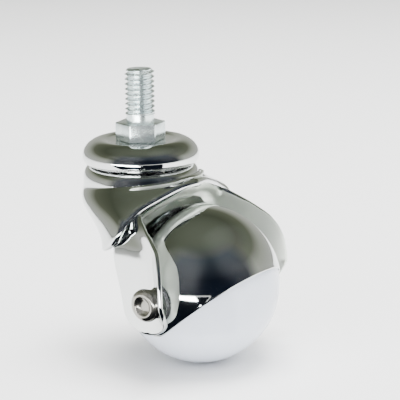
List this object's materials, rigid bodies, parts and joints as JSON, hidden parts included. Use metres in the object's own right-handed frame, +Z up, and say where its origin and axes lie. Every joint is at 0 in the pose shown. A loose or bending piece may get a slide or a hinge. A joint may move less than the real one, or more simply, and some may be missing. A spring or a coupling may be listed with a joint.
{
  "type": "swivel ball castor",
  "caption": "Swivel castor with a threaded stem, a hooded ball wheel between the arms of a pressed fork, and a ball-bearing head.",
  "frame": {"origin": "on the swivel axis at the hexagon's top face, at the foot of the threaded stem", "axes": "+Z up the threaded stem along the swivel axis, +X towards the side on which the ball trails, Y along the axle"},
  "size_m": [0.0674, 0.0698, 0.092],
  "materials": {
    "zinc": "bright zinc plating on turned steel",
    "chrome": "bright chrome plating on pressed steel",
    "steel": "plain ground steel, lightly oiled",
    "nickel": "satin nickel plating",
    "ball_plastic": "gloss moulded white plastic"
  },
  "bodies": {
    "stem": {"threaded_stem": "zinc", "top_cap": "chrome", "upper_race": "steel", "lower_race": "steel"},
    "fork": {"fork": "chrome", "hood": "chrome", "axle_sleeve": "steel", "axle_rivet": "nickel", "near_spacer": "steel", "far_spacer": "steel"},
    "wheel": {"ball_wheel": "ball_plastic"},
    "upper_balls": {"upper_ball_01": "steel", "upper_ball_02": "steel", "upper_ball_03": "steel", "upper_ball_04": "steel", "upper_ball_05": "steel", "upper_ball_06": "steel", "upper_ball_07": "steel", "upper_ball_08": "steel", "upper_ball_09": "steel", "upper_ball_10": "steel", "upper_ball_11": "steel", "upper_ball_12": "steel", "upper_ball_13": "steel", "upper_ball_14": "steel"},
    "lower_balls": {"lower_ball_01": "steel", "lower_ball_02": "steel", "lower_ball_03": "steel", "lower_ball_04": "steel", "lower_ball_05": "steel", "lower_ball_06": "steel", "lower_ball_07": "steel", "lower_ball_08": "steel", "lower_ball_09": "steel", "lower_ball_10": "steel", "lower_ball_11": "steel", "lower_ball_12": "steel"}
  },
  "joints": [
    {"name": "swivel", "type": "hinge", "parent": "stem", "child": "fork", "pos_m": [0, 0, 0], "axis": [0, 0, 1], "continuous": true},
    {"name": "wheel_spin", "type": "hinge", "parent": "fork", "child": "wheel", "pos_m": [0.0235, 0, -0.05], "axis": [0, 1, 0], "continuous": true},
    {"name": "upper_ball_orbit", "type": "hinge", "parent": "stem", "child": "upper_balls", "pos_m": [0, 0, 0], "axis": [0, 0, 1], "continuous": true},
    {"name": "lower_ball_orbit", "type": "hinge", "parent": "stem", "child": "lower_balls", "pos_m": [0, 0, 0], "axis": [0, 0, 1], "continuous": true}
  ],
  "couplings": [
    {"joint": "upper_ball_orbit", "follows": "swivel", "ratio": 0.5},
    {"joint": "lower_ball_orbit", "follows": "swivel", "ratio": 0.5}
  ]
}
